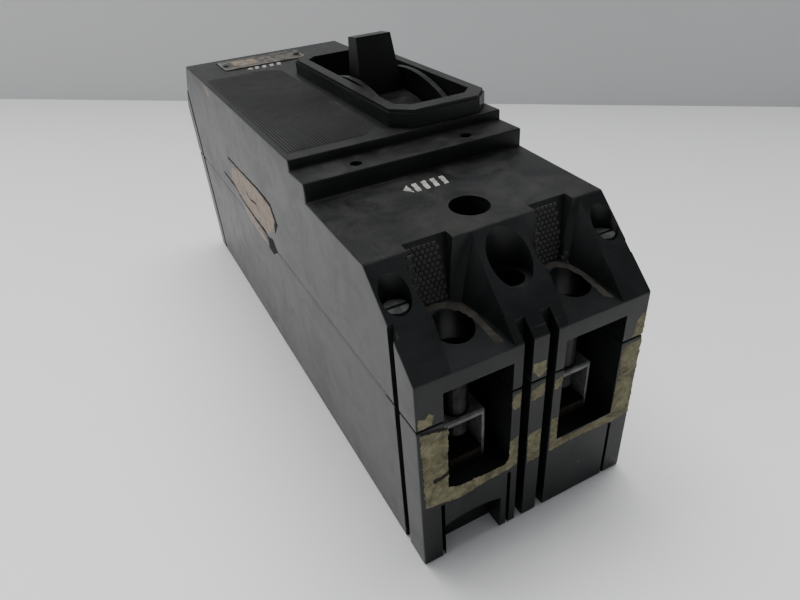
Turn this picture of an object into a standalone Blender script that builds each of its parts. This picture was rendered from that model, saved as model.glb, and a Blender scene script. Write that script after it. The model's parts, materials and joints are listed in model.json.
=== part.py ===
"""Two-pole moulded-case circuit breaker with its thermal-magnetic trip unit, drawn in millimetres.

The line end is at -Y, the load end at +Y, and the mounting face lies on Z = 0.
Each object is one piece. A moving piece has its origin on its joint's axis.
"""

import math

import bmesh
import bpy
from mathutils import Matrix, Vector

MM = 0.001
GAP = 0.3  # clearance between pieces that touch

# Case
WIDTH = 76.2
LENGTH = 241.3
END = LENGTH / 2
PARTING_Z = 56.0
DECK_Z = 104.3
LEDGE_Z = 101.0
LOWER_DECK_Z = 95.2
NOSE_DECK_Z = 93.6
NOSE_Z = 71.3
LOAD_NOSE_Z = 81.5
LOAD_POCKET_Z = 73.0
LOWER_DECK_STEP = 61.9  # distances from the line end
LEDGE_STEP = 73.6
NOSE_RUN = 23.4
LOAD_NOSE_RUN = 22.8
FLOOR_THICK = 4.0
CAVITY = (1.75, 34.9)  # inner and outer side walls of a pole's cavity
CAVITY_LINE_Y = -76.0
CAVITY_LOAD_Y = 88.0

# Terminals
POLE_X = 19.3
SIDES = {"left": -1, "right": 1}
ENDS = {"line": -1, "load": 1}
GROOVE_DEPTH = {-1: 1.6, 1: 0.6}  # of the grooves down the side walls, by side
WINDOW_HALF = 10.7
WINDOW_SILL_Z = 28.5
WINDOW_TOP_Z = 66.0
CHAMBER_DEPTH = 29.5
LUG_INSET = 12.6  # lug screw's distance from the end face
LUG_LENGTH = 10.6
LUG_HALF = 7.2
LUG_WALL = 1.3
LUG_Z = (25.7, 46.0)
LUG_TOP_WALL = 1.7
STRAP_HALF = 5.5
STRAP_END = 113.9
STRAP_Z = (28.8, 31.8)
LOW_STRAP_Z = (9.0, 12.0)
SCREW_ACCESS_R = 6.0
LUG_SCREW_R = 4.0
LUG_SCREW_Z = (38.0, 58.5)
POCKET_FLOOR_SLOPE = 0.257
POCKET_X = 18.1
LOAD_POCKET_REACH = 0.94  # of a line pocket's reach inwards
NOTCH_BACK = 27.3

# Mounting and cover screws
MOUNT_X = 0.85
MOUNT_INSET = 16.25
MOUNT_BORE_R = 6.4
MOUNT_SEAT_Z = 80.3
MOUNT_R = 4.4
CORNER_X = {-1: -33.1, 1: 33.7}
CORNER_INSET = 16.6
CORNER_R = 4.15
CENTRE_SCREW_X = 0.8
CENTRE_SCREW_INSET = 35.45
CENTRE_SCREW_R = 5.95
COVER_SHANK_R = 1.7

# Handle and its collar, over the right-hand pole
MECH_X = 18.2
PIVOT = (1.35, 42.0)
HANDLE_TILT = -5.3
SHIELD_R = (58.5, 60.5)
WEB_R = 68.0
WEB_THICK = 2.2
COLLAR_X = (-0.5, 36.6)
COLLAR_Y = (-45.6, 53.9)
COLLAR_Z = 110.0
COLLAR_CORNER = 6.0
OPENING_X = (3.9, 32.5)
OPENING_Y = (-39.6, 47.4)
OPENING_CORNER = 4.0
ROOF_Z = 100.6
WELL_Z = 88.4

# Mechanism
ARM_X = {"left": -18.3, "right": MECH_X}
CROSSBAR = (6.0, 30.0)
CROSSBAR_R = 5.5
ARM_TILT = -22.4
ARM_PIN = (-20.0, -1.0)  # lower link's pin, from the crossbar's centre with the arm closed
CRADLE_PIN = (-16.0, 66.0)
LINK_PIN = (2.0, 66.0)
UPPER_LINK = 24.0
LOWER_LINK = 23.0
UPPER_LINK_TILT = -72.5
LOWER_LINK_TILT = 16.2
LEG_X = (7.5, 8.9)
PLATE_X = (9.5, 11.1)
YOKE_TOP = 55.0
ANCHOR_R = 47.0

# Trip unit
TRIP_BAR = (62.0, 66.0)
LATCH_PIN = (50.0, 48.0)
ARMATURE_PIN = (61.7, 42.5)
BIMETAL_Y = (70.0, 71.2)
STRAP_LEG_Y = (84.6, 87.6)

COLOURS = {
    "moulding": ((0.028, 0.031, 0.034), 0.42, 0.0),
    "handle_moulding": ((0.022, 0.025, 0.026), 0.4, 0.0),
    "insulation": ((0.20, 0.13, 0.08), 0.6, 0.0),
    "copper": ((0.60, 0.30, 0.18), 0.35, 1.0),
    "silver": ((0.75, 0.74, 0.70), 0.3, 1.0),
    "steel": ((0.42, 0.42, 0.41), 0.4, 1.0),
    "tin": ((0.50, 0.50, 0.48), 0.45, 1.0),
    "nameplate": ((0.30, 0.28, 0.26), 0.45, 0.8),
}


def clear_scene():
    for obj in list(bpy.data.objects):
        bpy.data.objects.remove(obj, do_unlink=True)


def new_collection(name):
    collection = bpy.data.collections.new(name)
    bpy.context.scene.collection.children.link(collection)
    return collection


def make_material(name):
    colour, roughness, metallic = COLOURS[name]
    material = bpy.data.materials.new(name)
    material.use_nodes = True
    shader = material.node_tree.nodes["Principled BSDF"]
    shader.inputs["Base Color"].default_value = (*colour, 1.0)
    shader.inputs["Roughness"].default_value = roughness
    shader.inputs["Metallic"].default_value = metallic
    return material


def to_mesh(bm, name):
    """The bmesh as a mesh, its millimetres turned into metres."""
    bmesh.ops.scale(bm, vec=(MM, MM, MM), verts=bm.verts)
    bmesh.ops.recalc_face_normals(bm, faces=bm.faces)
    mesh = bpy.data.meshes.new(name)
    bm.to_mesh(mesh)
    bm.free()
    return mesh


def box(low, high):
    """A box between two corners."""
    bm = bmesh.new()
    middle = [(a + b) / 2 for a, b in zip(low, high)]
    size = [abs(b - a) for a, b in zip(low, high)]
    place = Matrix.Translation(middle) @ Matrix.Diagonal((*size, 1.0))
    bmesh.ops.create_cube(bm, size=1.0, matrix=place)
    return to_mesh(bm, "box")


def tapered_box(bottom, top):
    """A box whose bottom and top are rectangles (x0, x1, y0, y1) at heights that may differ along Y.

    bottom and top are each (rectangle, z at y0, z at y1).
    """
    bm = bmesh.new()
    bmesh.ops.create_cube(bm, size=2.0)
    for vert in bm.verts:
        rectangle, z_front, z_back = top if vert.co.z > 0 else bottom
        x = rectangle[1] if vert.co.x > 0 else rectangle[0]
        y, z = (rectangle[3], z_back) if vert.co.y > 0 else (rectangle[2], z_front)
        vert.co = (x, y, z)
    return to_mesh(bm, "tapered box")


def rod(start, end, radius, sides=20, end_radius=None):
    """A cylinder, or a cone when end_radius is given, from start to end."""
    start, end = Vector(start), Vector(end)
    axis = end - start
    turn = axis.to_track_quat("Z", "Y").to_matrix().to_4x4()
    bm = bmesh.new()
    bmesh.ops.create_cone(
        bm,
        cap_ends=True,
        segments=sides,
        radius1=radius,
        radius2=radius if end_radius is None else end_radius,
        depth=axis.length,
        matrix=Matrix.Translation((start + end) / 2) @ turn,
    )
    return to_mesh(bm, "rod")


# Each plane's matrix takes an outline's (u, v) to two axes and its thickness to the third.
PLANES = {
    "yz": Matrix(((0, 0, 1, 0), (1, 0, 0, 0), (0, 1, 0, 0), (0, 0, 0, 1))),
    "xy": Matrix.Identity(4),
    "xz": Matrix(((1, 0, 0, 0), (0, 0, -1, 0), (0, 1, 0, 0), (0, 0, 0, 1))),
}


def plate(points, low, high, plane="yz"):
    """A flat outline in the plane, thickened from low to high along the third axis."""
    curve = bpy.data.curves.new("outline", "CURVE")
    curve.dimensions = "2D"
    curve.fill_mode = "BOTH"
    curve.extrude = abs(high - low) / 2
    spline = curve.splines.new("POLY")
    spline.points.add(len(points) - 1)
    for point, (u, v) in zip(spline.points, points):
        point.co = (u, v, 0.0, 1.0)
    spline.use_cyclic_u = True
    guide = bpy.data.objects.new("outline", curve)
    bpy.context.scene.collection.objects.link(guide)
    graph = bpy.context.evaluated_depsgraph_get()
    mesh = bpy.data.meshes.new_from_object(guide.evaluated_get(graph))
    bpy.data.objects.remove(guide)
    bm = bmesh.new()
    bm.from_mesh(mesh)
    bmesh.ops.remove_doubles(bm, verts=bm.verts, dist=0.0001)
    middle = (low + high) / 2 * (-1 if plane == "xz" else 1)
    bm.transform(PLANES[plane] @ Matrix.Translation((0, 0, middle)))
    return to_mesh(bm, "plate")


def arc(centre, radius, first, last, steps):
    """Points on an arc. Angles are in degrees from the first axis towards the second."""
    angles = [math.radians(first + (last - first) * i / steps) for i in range(steps + 1)]
    return [(centre[0] + radius * math.cos(a), centre[1] + radius * math.sin(a)) for a in angles]


def link_outline(length, half_width, steps=8):
    """A bar with round ends, from the origin along the first axis."""
    return arc((0, 0), half_width, 90, 270, steps) + arc((length, 0), half_width, -90, 90, steps)


def add_part(name, mesh, material, pivot=(0.0, 0.0), tilt=0.0, x=0.0):
    """A piece with its origin at (x, pivot), turned about X by tilt degrees."""
    mesh.name = name
    mesh.materials.clear()
    mesh.materials.append(MATERIALS[material])
    obj = bpy.data.objects.new(name, mesh)
    obj.location = (x * MM, pivot[0] * MM, pivot[1] * MM)
    obj.rotation_euler.x = math.radians(tilt)
    PARTS.objects.link(obj)
    return obj


def shape(target, mesh, operation="DIFFERENCE"):
    """Cuts the mesh, given in the target's own frame, from the target, or joins it to it."""
    helper = bpy.data.objects.new(f"{target.name}_{operation.lower()}", mesh)
    helper.parent = target
    helper.hide_render = True
    helper.display_type = "WIRE"
    CUTTERS.objects.link(helper)
    modifier = target.modifiers.new(helper.name, "BOOLEAN")
    modifier.operation = operation
    modifier.solver = "EXACT"
    modifier.object = helper
    return target


def cut(target, *meshes):
    for mesh in meshes:
        shape(target, mesh)
    return target


def join(target, *meshes):
    for mesh in meshes:
        shape(target, mesh, "UNION")
    return target


def round_edges(obj, width, segments=2, angle=40):
    bevel = obj.modifiers.new("round edges", "BEVEL")
    bevel.width = width * MM
    bevel.segments = segments
    bevel.limit_method = "ANGLE"
    bevel.angle_limit = math.radians(angle)
    return obj


def span(sign, near, far):
    """The low and high of near and far mirrored to the sign's side."""
    return tuple(sorted((sign * near, sign * far)))


def cut_both_ends(case, top_z):
    """The grooves and slots that run down both end faces, from the floor up to top_z."""
    for end in ENDS.values():
        slot_y = span(end, END - 4.75, END + 3)
        groove_y = span(end, END - 12.0, END - 9.0)
        for side in SIDES.values():
            slot_x = span(side, 2.5, 5.6)
            cut(case, box((slot_x[0], slot_y[0], -1), (slot_x[1], slot_y[1], top_z)))
            groove_x = span(side, WIDTH / 2 - GROOVE_DEPTH[side], WIDTH / 2 + 2)
            cut(case, box((groove_x[0], groove_y[0], -1), (groove_x[1], groove_y[1], top_z)))


def make_base():
    base = add_part("base", box((-WIDTH / 2, -END, 0), (WIDTH / 2, END, PARTING_Z)), "moulding")
    round_edges(base, 0.7)
    cut_both_ends(base, PARTING_Z + 3)
    for side in SIDES.values():
        x = span(side, *CAVITY)
        cut(base, box((x[0], CAVITY_LINE_Y, FLOOR_THICK), (x[1], CAVITY_LOAD_Y, PARTING_Z + 4)))
    for end, cavity_y in ((-1, -CAVITY_LINE_Y), (1, CAVITY_LOAD_Y)):
        for side in SIDES.values():
            centre = side * POLE_X
            chamber = span(end, END - CHAMBER_DEPTH, END + 4)
            channel = span(end, cavity_y - 1, END - CHAMBER_DEPTH + 1)
            recess = span(end, END - LUG_INSET - 6.2, END - LUG_INSET + 6.2)
            core = span(end, END - 28, END - 8)
            low_x, high_x = centre - WINDOW_HALF, centre + WINDOW_HALF
            cut(
                base,
                box((low_x, chamber[0], WINDOW_SILL_Z), (high_x, chamber[1], 60)),
                box((centre - 6.5, channel[0], WINDOW_SILL_Z), (centre + 6.5, channel[1], 60)),
                box((centre - 8.6, recess[0], 25.2), (centre + 8.6, recess[1], WINDOW_SILL_Z + 1)),
                box((centre - 9.5, core[0], -1), (centre + 9.5, core[1], 22)),
            )
            corner = (CORNER_X[side], end * (END - CORNER_INSET))
            cut(base, rod((*corner, 41), (*corner, PARTING_Z + 2), COVER_SHANK_R + GAP, 12))
        slot_y = span(end, END - 4, END + 3)
        for x, top in ((-31.2, 24.0), (-8.4, 24.0), (30.4, 24.0)):
            cut(base, box((x - 0.6, slot_y[0], -1), (x + 0.6, slot_y[1], top)))
        mount = (MOUNT_X, end * (END - MOUNT_INSET))
        cut(base, rod((*mount, -2), (*mount, PARTING_Z + 2), MOUNT_R))
    arch = [(-30.6, -2), *arc((-20.85, -16.0), 31.6, 107.97, 72.03, 8), (-11.1, -2)]
    cut(base, plate(arch, -END - 3, -END + 6, "xz"))
    centre_screw = (CENTRE_SCREW_X, -END + CENTRE_SCREW_INSET)
    cut(base, rod((*centre_screw, 36), (*centre_screw, PARTING_Z + 2), COVER_SHANK_R + GAP, 12))
    slot_r = CROSSBAR_R + 0.4
    bearing = [
        (CROSSBAR[0] + slot_r, PARTING_Z + 3),
        (CROSSBAR[0] - slot_r, PARTING_Z + 3),
        *arc(CROSSBAR, slot_r, 180, 360, 10),
    ]
    cut(base, plate(bearing, -4, 4))
    return base


def loft(bottom, top):
    """A closed solid between two outlines of (x, y, z) points, as many in each."""
    bm = bmesh.new()
    lower = [bm.verts.new(point) for point in bottom]
    upper = [bm.verts.new(point) for point in top]
    bm.faces.new(lower)
    bm.faces.new(upper)
    for i in range(len(lower)):
        following = (i + 1) % len(lower)
        bm.faces.new((lower[i], lower[following], upper[following], upper[i]))
    return to_mesh(bm, "loft")


# Each pocket's outlines, as (distance across from its centre, distance in from the end face). The floor
# is on the left, and on the right is the same corner RIM_RISE above the deck.
POCKET_CORNERS = (
    ((-9.9, -4.0), (-10.2, -4.0)),
    ((9.9, -4.0), (9.9, -4.0)),
    ((9.8, 1.5), (11.0, 1.5)),
    ((9.4, 5.5), (13.6, 5.5)),
    ((8.3, 10.3), (14.5, 10.3)),
    ((6.8, 15.2), (14.6, 15.2)),
    ((5.3, 18.6), (14.2, 19.5)),
    ((2.7, 20.7), (13.3, 24.0)),
    ((-4.5, 21.6), (-4.5, 23.8)),
    ((-6.5, 20.5), (-9.8, 24.1)),
    ((-7.4, 15.0), (-12.0, 15.0)),
)
RIM_RISE = 4.0


def pocket(end, centre):
    """The lug-screw pocket in the nose: its floor climbs inwards, and its walls lean outwards."""
    nose_z = NOSE_Z if end < 0 else LOAD_POCKET_Z
    rim_z = (NOSE_DECK_Z if end < 0 else DECK_Z) + RIM_RISE
    reach = 1 if end < 0 else LOAD_POCKET_REACH
    bottom = []
    top = []
    for (x, y), (rim_x, rim_y) in POCKET_CORNERS:
        y, rim_y = y * reach, rim_y * reach
        bottom.append((centre + x, end * (END - y), nose_z + POCKET_FLOOR_SLOPE * y))
        top.append((centre + rim_x, end * (END - rim_y), rim_z))
    return loft(bottom, top)


def pocket_notch(side):
    """The shallow recess in a line pocket's back wall, which breaks out on the deck."""
    rim_z = NOSE_DECK_Z + RIM_RISE
    if side < 0:
        foot_x, rim_x = (-23.6, -15.4), (-26.0, -11.6)
    else:
        foot_x, rim_x = (14.9, 22.0), (14.0, 28.6)
    inner = 13 - END
    foot_y = (inner, 21.3 - END)
    rim_y = (inner, NOTCH_BACK + 0.8 - END)
    foot_z = NOSE_Z + 21.3 * POCKET_FLOOR_SLOPE
    return tapered_box(((*foot_x, *foot_y), foot_z, foot_z), ((*rim_x, *rim_y), rim_z, rim_z))


def octagon(x, y, corner):
    """A rectangle with its corners cut at 45 degrees."""
    return [
        (x[0] + corner, y[0]),
        (x[1] - corner, y[0]),
        (x[1], y[0] + corner),
        (x[1], y[1] - corner),
        (x[1] - corner, y[1]),
        (x[0] + corner, y[1]),
        (x[0], y[1] - corner),
        (x[0], y[0] + corner),
    ]


def make_cover():
    bottom = PARTING_Z + GAP
    profile = [
        (-END, bottom),
        (END, bottom),
        (END, LOAD_NOSE_Z),
        (END - LOAD_NOSE_RUN, DECK_Z),
        (-END + LEDGE_STEP, DECK_Z),
        (-END + LEDGE_STEP, LEDGE_Z),
        (-END + LOWER_DECK_STEP, LEDGE_Z),
        (-END + LOWER_DECK_STEP, LOWER_DECK_Z),
        (-END + NOSE_RUN, NOSE_DECK_Z),
        (-END, NOSE_Z),
    ]
    cover = add_part("cover", plate(profile, -WIDTH / 2, WIDTH / 2), "moulding")
    round_edges(cover, 0.6, 2, 30)
    join(
        cover,
        plate(octagon(COLLAR_X, COLLAR_Y, COLLAR_CORNER), DECK_Z - 1, COLLAR_Z - 1.0, "xy"),
        tapered_collar_top(),
    )
    cavity = [
        (CAVITY_LINE_Y, 50),
        (CAVITY_LOAD_Y, 50),
        (CAVITY_LOAD_Y, ROOF_Z),
        (-43.5, ROOF_Z),
        (-43.5, LEDGE_Z - 3.6),
        (-54.0, LEDGE_Z - 3.6),
        (-54.0, LOWER_DECK_Z - 4.2),
        (CAVITY_LINE_Y, LOWER_DECK_Z - 4.2),
    ]
    for side in SIDES.values():
        cut(cover, plate(cavity, *span(side, *CAVITY)))
    # The well under the collar: two end walls that carry the arched webs beside the handle.
    wall = 3.0
    for y in ((OPENING_Y[0] - wall, OPENING_Y[0]), (OPENING_Y[1], OPENING_Y[1] + wall)):
        join(cover, box((OPENING_X[0] - 1.2, y[0], WELL_Z), (OPENING_X[1] + 1.2, y[1], ROOF_Z + 1)))
    opening = octagon(OPENING_X, OPENING_Y, OPENING_CORNER)
    cut(cover, plate(opening, ROOF_Z - 6, COLLAR_Z + 3, "xy"))
    for middle in (MECH_X - 11.8, MECH_X + 11.8):
        join(cover, plate(web_outline(wall - 1), middle - WEB_THICK / 2, middle + WEB_THICK / 2))
    cut_both_ends(cover, DECK_Z + 4)
    cut_terminal_end(cover)
    # Blind holes for fitting an accessory, on the ledge.
    for x in (-19.1, 19.9):
        y = -END + 67.0
        cut(cover, rod((x, y, LEDGE_Z - 2.6), (x, y, LEDGE_Z + 3), 1.9, 16))
    centre = (CENTRE_SCREW_X, -END + CENTRE_SCREW_INSET)
    cut(cover, rod((*centre, 78), (*centre, 99), CENTRE_SCREW_R, 24))
    cut(cover, rod((*centre, 50), (*centre, 80), COVER_SHANK_R + GAP, 12))
    # Shallow seat of the nameplate and the holes of its rivets.
    cut(cover, box((-25.3, 73.4, DECK_Z - 0.5), (13.7, 90.6, DECK_Z + 2)))
    for x in (-23.0, 11.4):
        cut(cover, rod((x, 82, DECK_Z - 3), (x, 82, DECK_Z + 2), 1.2, 12))
    # Trip bar's way through the wall between the poles.
    cut(cover, plate(trip_bar_slot(), -4, 4))
    return cover


def tapered_collar_top():
    """The last millimetre of the collar, drawn in a little to ease its edge."""
    ease = 0.5
    x = (COLLAR_X[0] + ease, COLLAR_X[1] - ease)
    y = (COLLAR_Y[0] + ease, COLLAR_Y[1] - ease)
    return plate(octagon(x, y, COLLAR_CORNER), COLLAR_Z - 1.5, COLLAR_Z, "xy")


def web_outline(overlap):
    """A web under the collar: flat below, and an arc about the handle's pivot above."""
    low = OPENING_Y[0] - overlap
    high = OPENING_Y[1] + overlap
    first = math.degrees(math.acos((high - PIVOT[0]) / WEB_R))
    last = math.degrees(math.acos((low - PIVOT[0]) / WEB_R))
    return [(low, WELL_Z + 1), (high, WELL_Z + 1), *arc(PIVOT, WEB_R, first, last, 16)]


def trip_bar_slot():
    radius = 4.6
    y, z = TRIP_BAR
    return [(y + radius, 50), *arc((y, z), radius, 0, 180, 8), (y - radius, 50)]


def cut_terminal_end(cover):
    """The wire windows, lug pockets, screw holes and mounting hole at both ends of the cover."""
    for end in ENDS.values():
        for side in SIDES.values():
            centre = side * POLE_X
            chamber = span(end, END - CHAMBER_DEPTH, END + 4)
            window_low = (centre - WINDOW_HALF, chamber[0], 50)
            window_high = (centre + WINDOW_HALF, chamber[1], WINDOW_TOP_Z)
            lug = (centre, end * (END - LUG_INSET))
            corner = (CORNER_X[side], end * (END - CORNER_INSET))
            cut(
                cover,
                box(window_low, window_high),
                pocket(end, side * POCKET_X),
                rod((*lug, 60), (*lug, 88), SCREW_ACCESS_R, 24),
                rod((*corner, 80), (*corner, 110), CORNER_R, 20),
                rod((*corner, 50), (*corner, 82), COVER_SHANK_R + GAP, 12),
            )
            if end < 0:
                cut(cover, pocket_notch(side))
        mount = (MOUNT_X, end * (END - MOUNT_INSET))
        cut(
            cover,
            rod((*mount, MOUNT_SEAT_Z), (*mount, 110), MOUNT_BORE_R, 28),
            rod((*mount, 50), (*mount, 82), MOUNT_R),
        )


def make_terminals():
    for side_name, side in SIDES.items():
        centre = side * POLE_X
        arm_x = ARM_X[side_name]
        line = [
            (-STRAP_END, STRAP_Z[0]),
            (-75.7, STRAP_Z[0]),
            (-75.7, LOW_STRAP_Z[0]),
            (-50.0, LOW_STRAP_Z[0]),
            (-50.0, LOW_STRAP_Z[1]),
            (-72.7, LOW_STRAP_Z[1]),
            (-72.7, STRAP_Z[1]),
            (-STRAP_END, STRAP_Z[1]),
        ]
        strap = plate(line, centre - STRAP_HALF, centre + STRAP_HALF)
        add_part(f"line_strap_{side_name}", strap, "copper")
        load = [
            (STRAP_END, STRAP_Z[0]),
            (STRAP_END, STRAP_Z[1]),
            (STRAP_LEG_Y[0], STRAP_Z[1]),
            (STRAP_LEG_Y[0], LOW_STRAP_Z[1]),
            (58.0, LOW_STRAP_Z[1]),
            (58.0, LOW_STRAP_Z[0]),
            (STRAP_LEG_Y[1], LOW_STRAP_Z[0]),
            (STRAP_LEG_Y[1], STRAP_Z[0]),
        ]
        strap = plate(load, centre - STRAP_HALF, centre + STRAP_HALF)
        add_part(f"load_strap_{side_name}", strap, "copper")
        pad = box((arm_x - 3.6, -68, LOW_STRAP_Z[1] + GAP), (arm_x + 3.6, -60, 15.0))
        add_part(f"fixed_contact_{side_name}", pad, "silver")
        for end_name, end in ENDS.items():
            make_lug(f"{end_name}_lug_{side_name}", centre, end * (END - LUG_INSET))


def make_lug(name, x, y):
    half = LUG_LENGTH / 2
    low = (x - LUG_HALF, y - half, LUG_Z[0])
    high = (x + LUG_HALF, y + half, LUG_Z[1])
    lug = round_edges(add_part(name, box(low, high), "tin"), 0.5, 1)
    way_low = (low[0] + LUG_WALL, low[1] - 3, WINDOW_SILL_Z)
    way_high = (high[0] - LUG_WALL, high[1] + 3, LUG_Z[1] - LUG_TOP_WALL)
    cut(lug, box(way_low, way_high))
    cut(lug, rod((x, y, LUG_Z[1] - 6), (x, y, LUG_Z[1] + 3), LUG_SCREW_R + 0.3, 20))
    low_z, high_z = LUG_SCREW_Z
    bottom = low_z - (low_z + high_z) / 2
    top = -bottom
    screw = rod((0, 0, bottom), (0, 0, top), LUG_SCREW_R, 20)
    screw = add_part(name.replace("lug", "lug_screw"), screw, "steel", (y, (low_z + high_z) / 2), 0.0, x)
    cut(screw, box((-5, -0.8, top - 2.2), (5, 0.8, top + 2)))


def make_cover_screws():
    for end_name, end in ENDS.items():
        for side_name, side in SIDES.items():
            x, y = CORNER_X[side], end * (END - CORNER_INSET)
            screw = cover_screw(f"cover_screw_{end_name}_{side_name}", x, y, 80.0 + GAP, 43.0, 3.3)
            cut(screw, box((x - 4, y - 0.5, 82.6), (x + 4, y + 0.5, 86)))
    x, y = CENTRE_SCREW_X, -END + CENTRE_SCREW_INSET
    screw = cover_screw("cover_screw_centre", x, y, 78.0 + GAP, 38.0, 4.8)
    cut(screw, box((x - 6, y - 0.6, 80.6), (x + 6, y + 0.6, 84)))


def cover_screw(name, x, y, seat_z, tip_z, head_r):
    screw = add_part(name, rod((x, y, seat_z), (x, y, seat_z + 3.3), head_r, 20), "steel")
    return join(screw, rod((x, y, tip_z), (x, y, seat_z + 1), COVER_SHANK_R, 12))


def make_handle():
    first = 90 - 44
    last = 90 + 48
    shield = [
        *arc((0, 0), SHIELD_R[1], first, last, 24),
        *arc((0, 0), SHIELD_R[0], last, first, 24),
    ]
    handle = add_part("handle", plate(shield, -9.0, 9.0), "handle_moulding", PIVOT, HANDLE_TILT, MECH_X)
    lever_bottom = ((-9.6, 8.2, -5.6, 5.6), 58.9, 58.9)
    lever_top = ((-8.1, 6.1, -3.7, 3.7), 81.4, 81.4)
    join(handle, tapered_box(lever_bottom, lever_top))
    join(handle, box((-5, -4, YOKE_TOP + GAP), (5, 4, 59.5)))
    return handle


def make_yoke():
    """The steel operating arm: two legs that hang on the pivot studs, and a bridge under the handle."""
    yoke_top = box((-LEG_X[1], -6, YOKE_TOP - 2.4), (LEG_X[1], 6, YOKE_TOP))
    yoke = add_part("handle_yoke", yoke_top, "steel", PIVOT, HANDLE_TILT, MECH_X)
    half = 3.4
    boss_r = 4.2
    meets = math.degrees(math.acos(half / boss_r))
    leg = [
        (half, YOKE_TOP - 1),
        (-half, YOKE_TOP - 1),
        *arc((0, 0), boss_r, 180 - meets, 360 + meets, 12),
    ]
    for side in SIDES.values():
        x = span(side, *LEG_X)
        join(yoke, plate(leg, *x))
        cut(yoke, rod((x[0] - 1, 0, 0), (x[1] + 1, 0, 0), 2.1, 14))
        anchor_x = side * (LEG_X[0] + 0.7)
        cut(yoke, rod((anchor_x - 1.5, 0, ANCHOR_R), (anchor_x + 1.5, 0, ANCHOR_R), 1.8, 12))
    pin = rod((-LEG_X[1], 0, ANCHOR_R), (LEG_X[1], 0, ANCHOR_R), 1.5, 12)
    add_part("spring_anchor_pin", pin, "steel", PIVOT, HANDLE_TILT, MECH_X)
    return yoke


def make_springs():
    """The two main springs, hooked on the anchor pin and reaching down towards the toggle pin."""
    top = Vector((0.0, ANCHOR_R - 2.6))
    bottom = Vector((7.7, 1.8))
    axis = bottom - top
    along = axis.normalized()
    across = Vector((-along.y, along.x))
    coil_r = 1.75
    turns = 9
    per_turn = 10
    for side_name, side in SIDES.items():
        x = side * 5.0
        points = []
        for i in range(turns * per_turn + 1):
            turn = 2 * math.pi * i / per_turn
            fraction = 0.08 + 0.52 * i / (turns * per_turn)
            centre = top + axis * fraction + across * coil_r * math.sin(turn)
            points.append((x + coil_r * math.cos(turn), centre.x, centre.y))
        end = top + axis * 0.75
        points.append((x, end.x, end.y))
        mesh = wire(points, 0.38, 2)
        add_part(f"main_spring_{side_name}", mesh, "steel", PIVOT, HANDLE_TILT, MECH_X)


def wire(points, radius, resolution):
    """A round wire through the points, as a closed mesh in metres."""
    curve = bpy.data.curves.new("wire", "CURVE")
    curve.dimensions = "3D"
    curve.bevel_depth = radius * MM
    curve.bevel_resolution = resolution
    curve.use_fill_caps = True
    spline = curve.splines.new("POLY")
    spline.points.add(len(points) - 1)
    for point, place in zip(spline.points, points):
        point.co = (place[0] * MM, place[1] * MM, place[2] * MM, 1.0)
    guide = bpy.data.objects.new("wire", curve)
    bpy.context.scene.collection.objects.link(guide)
    graph = bpy.context.evaluated_depsgraph_get()
    mesh = bpy.data.meshes.new_from_object(guide.evaluated_get(graph))
    bpy.data.objects.remove(guide)
    bm = bmesh.new()
    bm.from_mesh(mesh)
    bmesh.ops.remove_doubles(bm, verts=bm.verts, dist=1e-6)
    bmesh.ops.recalc_face_normals(bm, faces=bm.faces)
    bm.to_mesh(mesh)
    bm.free()
    return mesh


def make_frame():
    """The two side plates of the mechanism and the studs that the handle yoke turns on."""
    outline = [
        (-20, FLOOR_THICK + GAP),
        (26, FLOOR_THICK + GAP),
        (33, 20),
        (36, 60),
        (24, 80),
        (-12, 80),
        (-24, 68),
        (-24, 20),
    ]
    for side_name, side in SIDES.items():
        x = span(side, *PLATE_X)
        frame = add_part(f"mechanism_plate_{side_name}", plate(outline, *x), "steel", x=MECH_X)
        low, high = x[0] - 2, x[1] + 2
        cut(
            frame,
            rod((low, *CROSSBAR), (high, *CROSSBAR), CROSSBAR_R + 0.4, 20),
            rod((low, *PIVOT), (high, *PIVOT), 2.1, 14),
            rod((low, *CRADLE_PIN), (high, *CRADLE_PIN), 2.1, 14),
            box((low, -18, 10), (high, -8, 52)),
            box((low, 22, 26), (high, 28, 58)),
        )
        head = span(side, PLATE_X[1] + GAP, PLATE_X[1] + 1.7)
        shank = span(side, LEG_X[0] - 0.4, PLATE_X[1] + 1.0)
        stud = rod((head[0], *PIVOT), (head[1], *PIVOT), 3.2, 16)
        stud = add_part(f"handle_pivot_{side_name}", stud, "steel", x=MECH_X)
        join(stud, rod((shank[0], *PIVOT), (shank[1], *PIVOT), 1.8, 12))
    pin = rod((-12.4, *CRADLE_PIN), (12.4, *CRADLE_PIN), 1.8, 14)
    add_part("cradle_pin", pin, "steel", x=MECH_X)


def make_crossbar():
    shaft = rod((-33.5, 0, 0), (33.5, 0, 0), CROSSBAR_R, 20)
    bar = add_part("crossbar", shaft, "insulation", CROSSBAR, ARM_TILT)
    for x in ARM_X.values():
        join(bar, box((x - 4.6, -8, -7), (x + 4.6, 6, 7)))
        cut(bar, box((x - 2.8, -10, -9), (x + 2.8, 1.5, 9)))
    outline = [
        (0.9, 4.4),
        (-8, 5),
        (-36, 1),
        (-58, -5),
        (-70, -7),
        (-70, -11.8),
        (-58, -11.8),
        (-36, -6),
        (-8, -5),
        (0.9, -4.4),
    ]
    for side_name, x in ARM_X.items():
        name = f"contact_arm_{side_name}"
        arm = add_part(name, plate(outline, -2.5, 2.5), "copper", CROSSBAR, ARM_TILT, x)
        cut(arm, rod((-4, *ARM_PIN), (4, *ARM_PIN), 2.5, 14))
        pad = box((-3.2, -69, -14.6), (3.2, -61, -12.1))
        add_part(f"moving_contact_{side_name}", pad, "silver", CROSSBAR, ARM_TILT, x)


def turned(point, degrees):
    angle = math.radians(degrees)
    return (
        point[0] * math.cos(angle) - point[1] * math.sin(angle),
        point[0] * math.sin(angle) + point[1] * math.cos(angle),
    )


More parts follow.
